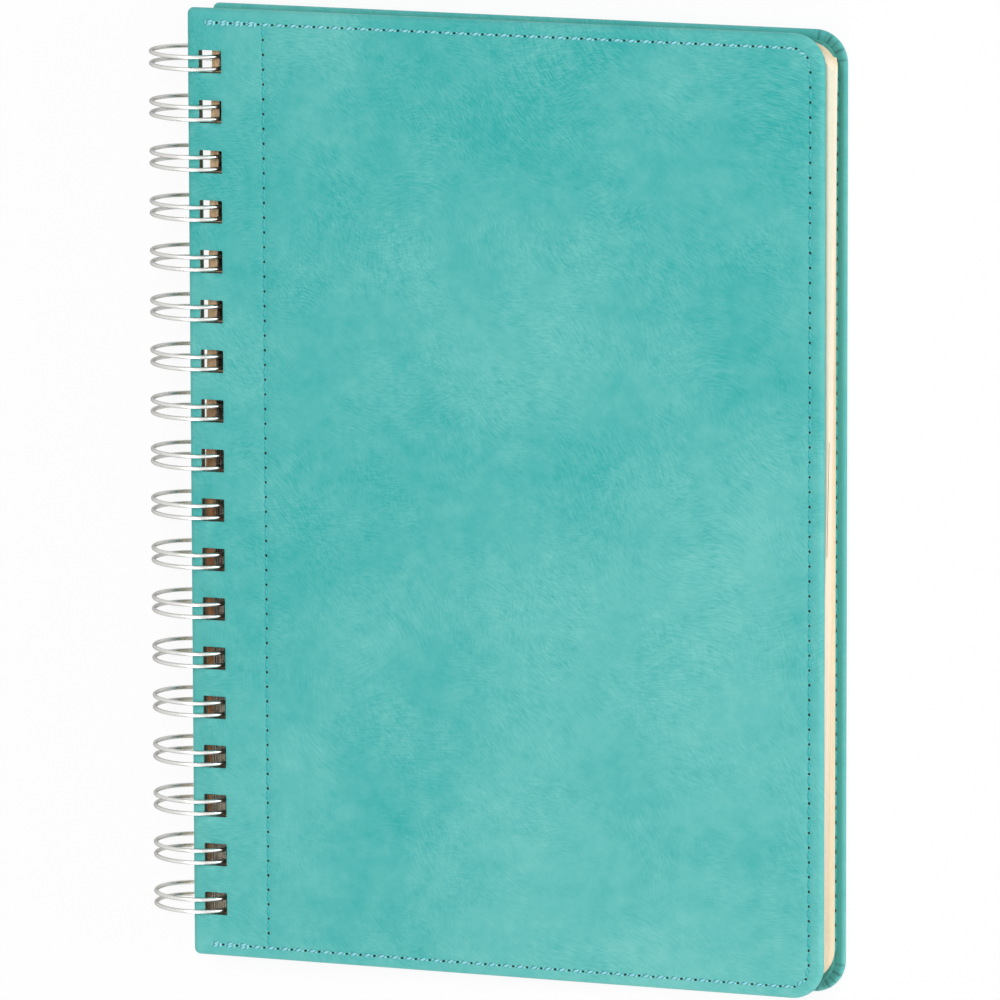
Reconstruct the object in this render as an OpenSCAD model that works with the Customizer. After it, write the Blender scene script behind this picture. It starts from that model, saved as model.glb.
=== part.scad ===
// Spiral notebook: two stitched hard covers and a block of pages on a twin-loop wire.
// It lies flat on its back cover with the wire on the -X side and the head on the +Y side.
// Units are millimetres. The origin is the middle of the bounding box on the table.

/* [Covers] */
// Width of a cover, from the wire side to the fore-edge
cover_w = 169; // [150:1:210]
// Height of a cover, from foot to head
cover_h = 243; // [242:1:300]
// Full thickness of a cover, with its lining
cover_t = 2.8; // [2.6:0.1:3]
// Radius of the two corners at the fore-edge
corner_r = 8.4; // [6:0.2:14]
// Radius of the two corners at the wire
spine_r = 1.6; // [1.4:0.1:3]

/* [Cover layers] */
// Thickness of the covering over the outer face of the board
skin_t = 0.45; // [0.4:0.05:0.6]
// Width of the covering that is turned in over the inner face
turn_in = 12; // [8:0.5:16]
// Thickness of the turned-in covering
turn_in_t = 0.35; // [0.3:0.05:0.4]
// Thickness of the lining sheet
lining_t = 0.3; // [0.25:0.05:0.35]
// Distance from the cover's edge to the lining's edge
lining_inset = 2.4; // [2:0.1:2.6]

/* [Stitching] */
// Width of the sewn line
thread_w = 0.5; // [0.4:0.05:0.6]
// Distance of the sewn line from the head and the fore-edge
stitch_inset = 3.6; // [3.3:0.1:5]
// Distance of the sewn line from the foot
stitch_inset_foot = 3; // [3:0.1:5]
// Distance of the upright sewn line from the wire side
row_x = 20.6; // [16:0.1:40]

/* [Punching] */
// Number of punched holes and of wire pairs
hole_count = 18; // [10:1:18]
// Distance between neighbouring holes
hole_pitch = 12.7; // [12.2:0.1:12.8]
// Size of a hole across the spine
hole_w = 6.1; // [6:0.05:6.3]
// Size of a hole along the spine
hole_h = 5.8; // [5.6:0.1:6.6]
// Distance from a cover's edge to its holes
hole_margin = 3.2; // [3.1:0.05:3.3]

/* [Pages] */
// Thickness of the block of pages
page_t = 6; // [5.6:0.1:6.2]
// Height of the pages
page_h = 237; // [230:1:237]
// How far the pages lie past the front cover's fore-edge
page_out = 0.35; // [0:0.05:1.5]
// Distance from the front cover's wire side to the pages
page_x = 2.55; // [2.45:0.01:2.65]
// Distance from a page's edge to its holes
page_margin = 3.13; // [3.05:0.01:3.2]
// Radius of the pages' corners at the fore-edge
page_corner_r = 8; // [4:0.5:12]
// How far the uppermost sheets are turned from the covers, in degrees
fan_angle = 1.1; // [0:0.05:1.15]

/* [Wire] */
// Outer diameter of the closed loops
loop_d = 22.2; // [22:0.05:22.4]
// Diameter of the wire
wire_d = 1; // [0.8:0.05:1.05]
// Distance between the two wires of a pair
pair_gap = 3.1; // [2.6:0.1:3.2]
// How far the wire pairs lie to the foot side of the holes' middle
pair_drop = 0.05; // [0:0.05:0.3]
// Height of the loops' middle over the back cover's outer face
loop_mid = 6.9; // [6.8:0.05:7]
// Gap between the pages and the back cover in which the wire's seam lies
seam_gap = 1.5; // [1.4:0.05:1.6]
// How far the loops reach in past the front cover's edge, to the wire's middle
loop_reach = 9.05; // [9:0.05:9.1]
// Play between the loops and the holes of the back cover, on the wire side
back_play = 0.29; // [0.2:0.01:0.4]

/* [Hidden] */
$fn = 64;
// the covering without the lining, with a round edge
wrap_t = cover_t - lining_t;
edge_r = wrap_t / 2;
board_inset = 0.9;
board_top = wrap_t - turn_in_t;
// thread: sunk into the outer face and into the lining
thread_sink = 0.03;
thread_deep = 0.3;
thread_in = 0.15;
thread_start = 4.4;
pin_d = 0.4;
// loops
loop_r = (loop_d - wire_d) / 2;
bend_r = 0.8;
tip_r = pair_gap / 2;
joint_len = 0.3;
joint_gap = 0.04;
joint_over = 0.03;
// gaps between the lying parts
rest_gap = 0.12;
face_gap = 0.1;
// the lie of the parts: the back cover rests on its fore-edge and on the loops
hole_mid = hole_margin + hole_w / 2;
spine_lift = loop_d / 2 - loop_mid;
loop_out = loop_r - loop_reach;
back_tilt = asin(spine_lift / (cover_w - edge_r - hole_mid));
// how far the back cover lies to the fore-edge side, so that the loops pass its holes
stack_t = 2 * cover_t + page_t + face_gap + rest_gap;
loop_in = sqrt(pow(loop_r - wire_d / 2, 2) - pow(loop_mid, 2)) - loop_out;
back_shift = loop_in - back_play - hole_margin + stack_t * sin(back_tilt);
page_right = cover_w + page_out;
touch_x = page_right - back_shift;
page_w = page_right - page_x;
wedge = atan((seam_gap - rest_gap) / (touch_x - hole_mid));
body_tilt = back_tilt + wedge;
// middle of the loops over the table
loop_z = loop_d / 2;
// the seam lies half way up the gap
seam_z = spine_lift + cover_t + seam_gap / 2 - loop_z;
seam_a = asin(seam_z / loop_r);
base_a = seam_a + asin(bend_r / loop_r);
tip_a = seam_a - asin((tip_r + wire_d + 0.45) / loop_r);
// page layers, from the lowest: share of the block's thickness and of its fan
layers = [[0, 0.09, 0], [0.09, 0.25, 0.2], [0.25, 0.42, 0.48], [0.42, 0.6, 0.72], [0.6, 0.8, 0.88], [0.8, 1, 1]];
// outermost points, which set the origin
back_right = back_shift + cover_w;
front_left_x = front_edge_x();
loop_x = front_left_x - loop_out;
left_end = loop_x - loop_d / 2;
mid_x = (left_end + back_right) / 2;

// where the front cover's left edge comes to lie, at its outer face
function front_edge_x() =
  let (z = page_t + face_gap + cover_t, dx = -back_shift - touch_x,
       x1 = touch_x + dx * cos(wedge) + z * sin(wedge),
       z1 = cover_t + rest_gap - dx * sin(wedge) + z * cos(wedge),
       rx = x1 - (cover_w - edge_r), rz = z1 - edge_r)
  back_shift + cover_w - edge_r + rx * cos(back_tilt) + rz * sin(back_tilt);

function hole_y(i) = ((hole_count - 1) / 2 - i) * hole_pitch;

// puts the back cover on the table, lifted at the wire
module on_table() {
  translate([back_shift + cover_w - edge_r - mid_x, 0, edge_r])
    rotate([0, back_tilt, 0])
      translate([-(cover_w - edge_r), 0, -edge_r])
        children();
}

// the level of the pages' lower face, lifted again by the wire's seam
module on_back_cover() {
  on_table()
    translate([touch_x, 0, cover_t + rest_gap])
      rotate([0, wedge, 0])
        translate([-touch_x - back_shift, 0, 0])
          children();
}

// the front cover, outer face up, on the pages
module on_pages() {
  on_back_cover()
    translate([0, 0, page_t + face_gap + cover_t])
      mirror([0, 0, 1])
        children();
}

// a sheet's outline: insets at wire side, fore-edge, foot and head, radii at wire and fore-edge
module outline(w, h, il, ir, ib, it, rl, rr) {
  x0 = il;
  x1 = w - ir;
  y0 = -h / 2 + ib;
  y1 = h / 2 - it;
  translate([x0 + rl, y0]) square([x1 - rr - x0 - rl, y1 - y0]);
  translate([x0, y0 + rl]) square([rl, y1 - y0 - 2 * rl]);
  translate([x1 - rr, y0 + rr]) square([rr, y1 - y0 - 2 * rr]);
  translate([x0 + rl, y0 + rl]) circle(r = rl);
  translate([x0 + rl, y1 - rl]) circle(r = rl);
  translate([x1 - rr, y0 + rr]) circle(r = rr);
  translate([x1 - rr, y1 - rr]) circle(r = rr);
}

module half_disc() {
  intersection() {
    circle(r = edge_r);
    translate([0, -edge_r]) square([edge_r, 2 * edge_r]);
  }
}

module slab_corner(r, turn) {
  rotate([0, 0, turn])
    rotate_extrude(angle = 90)
      union() {
        square([r - edge_r, wrap_t]);
        translate([r - edge_r, edge_r]) half_disc();
      }
}

// the covered slab with its rolled edge, outer face down
module slab() {
  long_w = cover_w - spine_r - corner_r;
  translate([spine_r, -cover_h / 2 + edge_r, 0]) cube([long_w, cover_h - 2 * edge_r, wrap_t]);
  translate([edge_r, -cover_h / 2 + spine_r, 0]) cube([spine_r - edge_r, cover_h - 2 * spine_r, wrap_t]);
  translate([cover_w - corner_r, -cover_h / 2 + corner_r, 0])
    cube([corner_r - edge_r, cover_h - 2 * corner_r, wrap_t]);
  translate([cover_w - corner_r, cover_h / 2 - corner_r, 0]) slab_corner(corner_r, 0);
  translate([spine_r, cover_h / 2 - spine_r, 0]) slab_corner(spine_r, 90);
  translate([spine_r, -cover_h / 2 + spine_r, 0]) slab_corner(spine_r, 180);
  translate([cover_w - corner_r, -cover_h / 2 + corner_r, 0]) slab_corner(corner_r, 270);
  // head and foot
  for (s = [0, 1])
    mirror([0, s, 0])
      translate([spine_r, cover_h / 2 - edge_r, edge_r])
        rotate([90, 0, 90]) linear_extrude(height = long_w) half_disc();
  // fore-edge and wire side
  translate([cover_w - edge_r, cover_h / 2 - corner_r, edge_r])
    rotate([90, 0, 0]) linear_extrude(height = cover_h - 2 * corner_r) half_disc();
  translate([edge_r, cover_h / 2 - spine_r, edge_r])
    mirror([1, 0, 0])
      rotate([90, 0, 0]) linear_extrude(height = cover_h - 2 * spine_r) half_disc();
}

module cover_holes() {
  for (i = [0 : hole_count - 1])
    translate([hole_margin, hole_y(i) - hole_h / 2, -1]) cube([hole_w, hole_h, cover_t + 2]);
}

module board_form() {
  translate([0, 0, skin_t])
    linear_extrude(height = board_top - skin_t)
      outline(cover_w, cover_h, board_inset, board_inset, board_inset, board_inset,
              0.6, corner_r - board_inset);
  translate([turn_in, -cover_h / 2 + turn_in, board_top])
    cube([cover_w - 2 * turn_in, cover_h - 2 * turn_in, turn_in_t]);
}

module lining_form() {
  translate([0, 0, wrap_t])
    linear_extrude(height = lining_t)
      outline(cover_w, cover_h, lining_inset, lining_inset, lining_inset, lining_inset,
              0.6, corner_r - lining_inset);
}

// the sewn line along head, fore-edge and foot, as a flat band
module edge_band() {
  intersection() {
    difference() {
      outline(cover_w, cover_h, stitch_inset - thread_w / 2, stitch_inset - thread_w / 2,
              stitch_inset_foot - thread_w / 2, stitch_inset - thread_w / 2,
              0.6, corner_r - stitch_inset + thread_w / 2);
      outline(cover_w, cover_h, stitch_inset + thread_w / 2, stitch_inset + thread_w / 2,
              stitch_inset_foot + thread_w / 2, stitch_inset + thread_w / 2,
              0.6, corner_r - stitch_inset - thread_w / 2);
    }
    translate([thread_start, -cover_h / 2]) square([cover_w, cover_h]);
  }
}

// the upright sewn line beside the holes, from the line at the foot to the one at the head
module row_band() {
  difference() {
    translate([row_x - thread_w / 2, -cover_h / 2 + stitch_inset_foot])
      square([thread_w, cover_h - stitch_inset - stitch_inset_foot]);
    edge_band();
  }
}

module sewn_faces() {
  translate([0, 0, thread_sink]) linear_extrude(height = thread_deep - thread_sink) children();
  translate([0, 0, cover_t - thread_in]) linear_extrude(height = thread_in - thread_sink) children();
}

module pin_at(x, y) {
  translate([x, y, thread_deep / 2])
    cylinder(d = pin_d, h = cover_t - thread_in - thread_deep / 2 + 0.05);
}

module edge_thread() {
  sewn_faces() edge_band();
  pin_at(thread_start + 1, cover_h / 2 - stitch_inset);
  pin_at(thread_start + 1, -cover_h / 2 + stitch_inset_foot);
}

module row_thread() {
  sewn_faces() row_band();
  pin_at(row_x, cover_h / 2 - stitch_inset - 2);
  pin_at(row_x, -cover_h / 2 + stitch_inset_foot + 2);
}

// the grooves and needle holes, open to the faces
module sewn_cut() {
  for (z = [[-0.5, thread_deep], [cover_t - thread_in, cover_t + 0.5]])
    translate([0, 0, z[0]])
      linear_extrude(height = z[1] - z[0]) {
        edge_band();
        row_band();
      }
  pin_at(thread_start + 1, cover_h / 2 - stitch_inset);
  pin_at(thread_start + 1, -cover_h / 2 + stitch_inset_foot);
  pin_at(row_x, cover_h / 2 - stitch_inset - 2);
  pin_at(row_x, -cover_h / 2 + stitch_inset_foot + 2);
}

// covering of one cover: folded round the board and turned in, as one piece
module wrap() {
  difference() {
    slab();
    board_form();
    cover_holes();
    sewn_cut();
  }
}

module board() {
  difference() {
    board_form();
    cover_holes();
    sewn_cut();
  }
}

module lining() {
  difference() {
    lining_form();
    cover_holes();
    sewn_cut();
  }
}

// one layer of sheets, punched, with round corners at the fore-edge
module page_layer(z0, z1, share) {
  translate([page_x + hole_mid, 0.35 * share, z0])
    rotate([0, 0, -fan_angle * share])
      translate([-hole_mid, 0, 0])
        linear_extrude(height = z1 - z0 + (share < 1 ? 0.02 : 0))
          difference() {
            outline(page_w, page_h, 0, 0, 0, 0, 0.4, page_corner_r);
            for (i = [0 : hole_count - 1])
              translate([page_margin, hole_y(i) - hole_h / 2]) square([hole_w, hole_h]);
          }
}

// the block of pages: one solid, its sheets fanned a little round the wire
module pages() {
  for (s = layers)
    page_layer(page_t * s[0], page_t * s[1], s[2]);
}

// an arc of wire in the plane across the spine, stopped just short of its joints
module loop_arc(from, to) {
  cut = asin(joint_gap / loop_r);
  rotate([90, 0, 0])
    rotate([0, 0, from + cut])
      rotate_extrude(angle = to - from - 2 * cut)
        translate([loop_r, 0]) circle(d = wire_d);
}

// a frame at the loop angle a: its x runs along the loop, its y along the spine
module at_angle(a) {
  rotate([0, -a, 0])
    translate([loop_r, 0, 0])
      rotate([0, -90, 0])
        children();
}

// a short collar that joins two stretches of wire
module joint() {
  translate([-joint_len / 2, 0, 0])
    rotate([0, 90, 0])
      cylinder(d = wire_d + 2 * joint_over, h = joint_len);
}

module bend(r, turn, sweep) {
  cut = asin(joint_gap / r);
  rotate([0, 0, turn + cut])
    rotate_extrude(angle = sweep - 2 * cut)
      translate([r, 0]) circle(d = wire_d);
}

// the round tip that joins the two wires of a pair
module loop_tip() {
  at_angle(tip_a) {
    bend(tip_r, -90, 180);
    translate([0, tip_r, 0]) joint();
    translate([0, -tip_r, 0]) joint();
  }
}

// a quarter bend from a loop into the straight base
module base_bend(side) {
  at_angle(base_a)
    mirror([0, side, 0]) {
      translate([0, bend_r, 0]) bend(bend_r, 180, 90);
      joint();
      translate([-bend_r, bend_r, 0]) rotate([0, 0, 90]) joint();
    }
}

// the straight base between two pairs
module base_bar(len) {
  at_angle(base_a)
    translate([-bend_r, -joint_gap, 0])
      rotate([90, 0, 0])
        cylinder(d = wire_d, h = len - 2 * joint_gap);
}

// one wire, bent to and fro into closed pairs of loops
module wire() {
  for (i = [0 : hole_count - 1]) {
    y = hole_y(i) - pair_drop;
    translate([0, y - tip_r, 0]) loop_arc(base_a, 360 + tip_a);
    translate([0, y + tip_r, 0]) loop_arc(base_a, 360 + tip_a);
    translate([0, y, 0]) loop_tip();
    if (i < hole_count - 1) {
      translate([0, y - tip_r, 0]) base_bend(1);
      translate([0, y - hole_pitch + tip_r, 0]) base_bend(0);
      translate([0, y - tip_r - bend_r, 0]) base_bar(hole_pitch - pair_gap - 2 * bend_r);
    }
  }
}

module front_wrap() { color([0.37, 0.75, 0.71]) on_pages() wrap(); }
module front_board() { color([0.55, 0.5, 0.43]) on_pages() board(); }
module front_lining() { color([0.33, 0.64, 0.6]) on_pages() lining(); }
module front_edge_stitching() { color([0.2, 0.6, 0.66]) on_pages() edge_thread(); }
module front_row_stitching() { color([0.2, 0.6, 0.66]) on_pages() row_thread(); }
module back_wrap() { color([0.37, 0.75, 0.71]) on_table() wrap(); }
module back_board() { color([0.55, 0.5, 0.43]) on_table() board(); }
module back_lining() { color([0.33, 0.64, 0.6]) on_table() lining(); }
module back_edge_stitching() { color([0.2, 0.6, 0.66]) on_table() edge_thread(); }
module back_row_stitching() { color([0.2, 0.6, 0.66]) on_table() row_thread(); }
module page_block() { color([0.98, 0.94, 0.84]) on_back_cover() pages(); }
module binding_wire() { color([0.75, 0.75, 0.74]) translate([loop_x - mid_x, 0, loop_z]) wire(); }

front_wrap();
front_board();
front_lining();
front_edge_stitching();
front_row_stitching();
back_wrap();
back_board();
back_lining();
back_edge_stitching();
back_row_stitching();
page_block();
binding_wire();
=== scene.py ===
# %% [markdown]
# # A stitched notebook on a twin-loop wire
# The notebook has two hard covers in turquoise leatherette, a block of cream pages and one
# silver wire bent into eighteen pairs of loops. The CAD model gives the boards, the linings
# and the place of everything. This file makes what the eye reads as the real thing: the
# embossed skin with its rolled edge, every single stitch, the fanned sheets and the smooth
# wire. Lengths are written in millimetres, as a bookbinder would say them, and become metres
# only when a piece takes its place.

# %% Load the frame
import math
import random
import bpy
import bmesh
from mathutils import Matrix, Vector
from mathutils.geometry import delaunay_2d_cdt


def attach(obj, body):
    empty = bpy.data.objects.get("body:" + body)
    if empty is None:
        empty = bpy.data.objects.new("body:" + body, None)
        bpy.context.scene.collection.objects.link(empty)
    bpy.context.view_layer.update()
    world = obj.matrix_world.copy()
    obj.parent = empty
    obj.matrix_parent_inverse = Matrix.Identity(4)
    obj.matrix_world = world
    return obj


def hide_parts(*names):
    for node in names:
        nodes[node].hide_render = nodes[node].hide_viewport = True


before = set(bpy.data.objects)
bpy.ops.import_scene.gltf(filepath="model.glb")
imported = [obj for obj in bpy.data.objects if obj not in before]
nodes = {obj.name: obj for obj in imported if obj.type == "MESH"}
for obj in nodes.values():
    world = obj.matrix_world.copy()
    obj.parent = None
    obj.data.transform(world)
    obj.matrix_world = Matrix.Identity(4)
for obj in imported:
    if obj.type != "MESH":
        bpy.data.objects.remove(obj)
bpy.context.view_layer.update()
MM = 0.001

# %% [markdown]
# ## Sizes
# A cover is a board with a skin folded round it. Its outer face is at height 0 and its
# inner face at `cover_t`, and x runs from the wire side to the fore-edge. The same numbers
# describe both covers, so one mesh recipe serves for both.

# %% Sizes of the covers
cover_w, cover_h, cover_t = 169.0, 243.0, 2.8
corner_r, spine_r = 8.4, 1.6
skin_t, turn_in, turn_in_t, lining_t = 0.45, 12.0, 0.35, 0.3
wrap_t = cover_t - lining_t
edge_r = wrap_t / 2
board_inset, board_top = 0.9, wrap_t - turn_in_t

# %% Sizes of the punching, the seams, the pages and the wire
hole_count, hole_pitch = 18, 12.7
hole_w, hole_h, hole_margin = 6.1, 5.8, 3.2
seam_in, seam_in_foot, seam_start, row_x = 3.6, 3.0, 4.4, 20.6
stitch_pitch = 3.72
page_t, page_h, page_out, page_x, page_margin = 6.0, 237.0, 0.35, 2.55, 3.13
fan_angle = math.radians(1.1)
loop_d, wire_d, pair_gap, pair_drop = 22.2, 1.0, 3.1, 0.05
loop_mid, loop_reach, back_play, seam_gap = 6.9, 9.05, 0.29, 1.5
rest_gap, face_gap = 0.12, 0.1
loop_r = (loop_d - wire_d) / 2

# %% [markdown]
# ## The lie of the parts
# The loops stand out below the back cover, so the notebook rests on its fore-edge and on the
# wire, a little tilted. The wire's seam lies between the pages and the back cover and lifts
# the rest once more. Three matrices hold this, and every piece is made flat and then placed
# by one of them.

# %% The lie of the parts
spine_lift = loop_d / 2 - loop_mid
loop_out = loop_r - loop_reach
hole_mid = hole_margin + hole_w / 2
back_tilt = math.asin(spine_lift / (cover_w - edge_r - hole_mid))
stack_t = 2 * cover_t + page_t + face_gap + rest_gap
loop_in = math.sqrt((loop_r - wire_d / 2) ** 2 - loop_mid ** 2) - loop_out
back_shift = loop_in - back_play - hole_margin + stack_t * math.sin(back_tilt)
page_right = cover_w + page_out
touch_x = page_right - back_shift
wedge = math.atan((seam_gap - rest_gap) / (touch_x - hole_mid))


def shift(x, y, z):
    return Matrix.Translation((x, y, z))


def turn(angle, axis="Y"):
    return Matrix.Rotation(angle, 4, axis)


on_edge = shift(back_shift + cover_w - edge_r, 0, edge_r)
lie_flat = on_edge @ turn(back_tilt) @ shift(edge_r - cover_w, 0, -edge_r)
on_cover = lie_flat @ shift(touch_x, 0, cover_t + rest_gap)
lie_pages = on_cover @ turn(wedge) @ shift(-touch_x - back_shift, 0, 0)
top_level = page_t + face_gap + cover_t
front_corner = lie_pages @ Vector((0, 0, top_level))
loop_x = front_corner.x - loop_out
mid_x = ((loop_x - loop_d / 2) + (back_shift + cover_w)) / 2
to_row = Matrix.Scale(MM, 4) @ shift(-mid_x, 0, 0)
back_place = to_row @ lie_flat
page_place = to_row @ lie_pages
front_place = to_row @ lie_pages @ shift(0, 0, top_level) @ Matrix.Scale(-1, 4, (0, 0, 1))
wire_place = to_row @ shift(loop_x, 0, loop_d / 2)
print("tilt", round(math.degrees(back_tilt), 3), "wire axis x", round(loop_x - mid_x, 3))
print("its spine edge here", front_place @ Vector((board_inset, 0, skin_t)))

# %% [markdown]
# ## Small tools
# A Blender mesh is only lists of points and faces. These helpers turn a finished mesh into a
# piece that rides on its body, and build node trees with little typing. A placing matrix
# with a mirror in it turns a mesh inside out, so its faces are flipped back.

# %% Small tools for meshes
def make_piece(name, mesh, place, body, *materials):
    mesh.transform(place)
    if place.determinant() < 0:
        mesh.flip_normals()
    mesh.update()
    piece = bpy.data.objects.new(name, mesh)
    bpy.context.scene.collection.objects.link(piece)
    mesh.materials.clear()
    for material in materials:
        mesh.materials.append(material)
    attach(piece, body)
    print(name, len(mesh.polygons), "faces")
    return piece


def smooth(mesh, angle=40):
    mesh.shade_smooth()
    mesh.set_sharp_from_angle(angle=math.radians(angle))


def clamp(value):
    return min(max(value, 0), 1)


# %% Small tools for node trees
def plug(node, inputs):
    for key, value in dict(inputs).items():
        if isinstance(value, bpy.types.NodeSocket):
            node.id_data.links.new(value, node.inputs[key])
        else:
            node.inputs[key].default_value = value


def add(tree, kind, inputs=(), **settings):
    node = tree.nodes.new(kind)
    for key, value in settings.items():
        setattr(node, key, value)
    plug(node, inputs)
    return node


def out_of(tree, kind, inputs=(), **settings):
    return add(tree, kind, inputs, **settings).outputs[0]


def maths(tree, operation, *values):
    return out_of(tree, "ShaderNodeMath", enumerate(values), operation=operation)


def vector_maths(tree, operation, *values):
    return out_of(tree, "ShaderNodeVectorMath", enumerate(values), operation=operation)


# %% Small tools for materials
def srgb(red, green, blue):
    def linear(c):
        c = c / 255
        return c / 12.92 if c <= 0.04045 else ((c + 0.055) / 1.055) ** 2.4
    return (linear(red), linear(green), linear(blue), 1.0)


def new_material(name):
    material = bpy.data.materials.new(name)
    material.use_nodes = True
    tree = material.node_tree
    tree.nodes.clear()
    shader = tree.nodes.new("ShaderNodeBsdfPrincipled")
    add(tree, "ShaderNodeOutputMaterial", {"Surface": shader.outputs[0]})
    return material, tree, shader


def object_place(tree):
    return add(tree, "ShaderNodeTexCoord").outputs["Object"]


def part_of(tree, vector, axis):
    return add(tree, "ShaderNodeSeparateXYZ", {0: vector}).outputs["XYZ".index(axis)]


def mapped(tree, place, **change):
    return out_of(tree, "ShaderNodeMapping", {"Vector": place, **change})


def noise(tree, vector, scale, detail=2.0, roughness=0.5, output="Fac"):
    node = add(tree, "ShaderNodeTexNoise", {"Vector": vector, "Scale": scale, "Detail": detail,
                                            "Roughness": roughness})
    return node.outputs[output]


def mark(tree, name):
    return add(tree, "ShaderNodeAttribute", attribute_name=name).outputs["Fac"]


def ramp(tree, fac, stops):
    node = add(tree, "ShaderNodeValToRGB", {"Fac": fac})
    elements = node.color_ramp.elements
    for index, (position, value) in enumerate(stops):
        element = elements[index] if index < 2 else elements.new(position)
        element.position = position
        element.color = value if isinstance(value, tuple) else (value, value, value, 1)
    return node.outputs["Color"]


def mix(tree, fac, a, b, blend="MIX"):
    node = add(tree, "ShaderNodeMix", {0: fac, 6: a, 7: b}, data_type="RGBA", blend_type=blend)
    return node.outputs[2]


def relief(tree, height, strength, distance):
    return out_of(tree, "ShaderNodeBump", {"Height": height, "Strength": strength, "Distance": distance})


# %% [markdown]
# ## Leatherette
# The skin is a soft plastic leather, brushed while it was warm. The eye reads three things
# in it: clouds of lighter and darker turquoise a few centimetres wide, fine hair-like strokes
# that flow in swirls, and a paler rolled edge, which is a painted highlight where the roll
# catches the light. The strokes are one noise, stretched long and thin and laid down three
# times at different angles. Before it is stretched, the coordinates are bent by a slow noise,
# and that makes the strokes fan out and curl as brushed fur does. A Voronoi of turned patches
# would also work, but its cell borders show. Towards the head the strokes grow stronger and
# the tone a little deeper. The turned-in face is painted darker as shade, most along the
# fore-edge, and the pleats are painted darker still as the shade in their creases.

# %% Strokes of the brush
brush_layers = ((0.0, 32, 0.024), (0.31, 62, 0.018), (0.57, 2, 0.020))
swirl_scale, patch_scale, hair_scale = 30.0, 48.0, (420, 2600, 60)


def strokes(tree, place, start, angle, warp):
    moved = mapped(tree, place, Location=(start, start * 0.7, 0))
    swirl = noise(tree, moved, swirl_scale, 0.0, output="Color")
    centred = vector_maths(tree, "SUBTRACT", swirl, (0.5, 0.5, 0.5))
    bend = vector_maths(tree, "MULTIPLY", centred, (warp, warp, 0.0))
    turned = mapped(tree, vector_maths(tree, "ADD", moved, bend), Rotation=(0, 0, math.radians(angle)))
    line = noise(tree, mapped(tree, turned, Scale=hair_scale), 1.0, 1.0, 0.6)
    patch = ramp(tree, noise(tree, moved, patch_scale, 1.0, 0.6), [(0.44, 0.06), (0.64, 1.0)])
    return maths(tree, "MULTIPLY", maths(tree, "SUBTRACT", line, 0.5), patch)


# %% Leatherette
cloud_scale, cloud_share = 22.0, 0.70
mottle_scale, mottle_share = 210.0, 0.36
head_tone, head_strokes, mid_strokes = -0.6, 0.8, 0.44
grain_scale = 3600.0


def leatherette(name, dark, light):
    material, tree, shader = new_material(name)
    place = object_place(tree)
    hair, *others = [strokes(tree, place, *layer) for layer in brush_layers]
    for layer in others:
        hair = maths(tree, "ADD", hair, layer)
    clouds = maths(tree, "MULTIPLY", noise(tree, place, cloud_scale, 4.0, 0.60), cloud_share)
    mottle = maths(tree, "MULTIPLY", noise(tree, place, mottle_scale, 3.0, 0.65), mottle_share)
    both = maths(tree, "SUBTRACT", maths(tree, "ADD", clouds, mottle), 0.05)
    up = part_of(tree, place, "Y")
    both = maths(tree, "MULTIPLY_ADD", up, head_tone, both)
    strength = maths(tree, "MULTIPLY_ADD", up, head_strokes, mid_strokes)
    tone = ramp(tree, maths(tree, "MULTIPLY_ADD", hair, strength, both), [(0.25, dark), (0.75, light)])
    # The rolled edge is lightened as a painted highlight, the turned-in face is darkened as painted shade,
    # and the pleats are darkened as painted shade in their creases.
    for title, amount, colour in (("rim_highlight", 0.14, srgb(126, 202, 195)), ("inner", 1.0, srgb(62, 144, 136)),
                                  ("crease_shade", 0.75, srgb(26, 80, 78))):
        tone = mix(tree, maths(tree, "MULTIPLY", mark(tree, title), amount), tone, colour)
    grain = noise(tree, place, grain_scale, 0.0)
    plug(shader, {"Base Color": tone, "Roughness": ramp(tree, hair, [(0.0, 0.50), (0.2, 0.64)]),
                  "Normal": relief(tree, grain, 0.14, 0.0001), "Specular IOR Level": 0.3,
                  "Sheen Weight": 0.05, "Sheen Roughness": 0.5})
    return material


skin_look = leatherette("leatherette", srgb(38, 168, 165), srgb(114, 198, 192))
print("material", skin_look.name)

# %% [markdown]
# ## Board, lining, paper and thread
# The punched holes show the board between the skins. Its colour is the board's own
# grey-brown, painted darker as the shade inside the holes. The lining is a smooth sheet of the
# same turquoise. Paper is never one flat colour: its cut edge is made of dozens of sheet
# edges, so thin lines run along it, and the lowest third of the block, which lies in the
# shade of the back cover, is painted a warmer, darker cream as that shade. The walls of the
# punched holes in the sheets and of the slit are painted dark brown as shade. The top sheet
# has a brown strip under the holes, which is painted shade, paler towards the head as
# painted light.

# %% Board and lining
def board_hole_shade_look():
    material, tree, shader = new_material("bookbinding_board_hole_shade")
    fibre = noise(tree, mapped(tree, object_place(tree), Scale=(500, 500, 3200)), 1.0, 4.0, 0.7)
    # The board's own grey-brown is painted darker here as the shade inside the punched holes.
    tone = ramp(tree, fibre, [(0.3, srgb(56, 42, 32)), (0.7, srgb(118, 90, 66))])
    plug(shader, {"Base Color": tone, "Roughness": 0.9, "Normal": relief(tree, fibre, 0.5, 0.0002)})
    return material


def lining_look():
    material, tree, shader = new_material("lining_sheet")
    place = object_place(tree)
    clouds, grain = noise(tree, place, 40.0, 4.0, 0.6), noise(tree, place, 1500.0, 3.0, 0.6)
    tone = ramp(tree, clouds, [(0.35, srgb(70, 158, 150)), (0.65, srgb(86, 170, 162))])
    plug(shader, {"Base Color": tone, "Roughness": 0.65, "Normal": relief(tree, grain, 0.25, 0.0001)})
    return material


for side in ("front", "back"):
    for part, look in (("board", board_hole_shade_look()), ("lining", lining_look())):
        slots = nodes[side + "_" + part].data.materials
        slots.clear()
        slots.append(look)
print("board and lining done")

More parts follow.
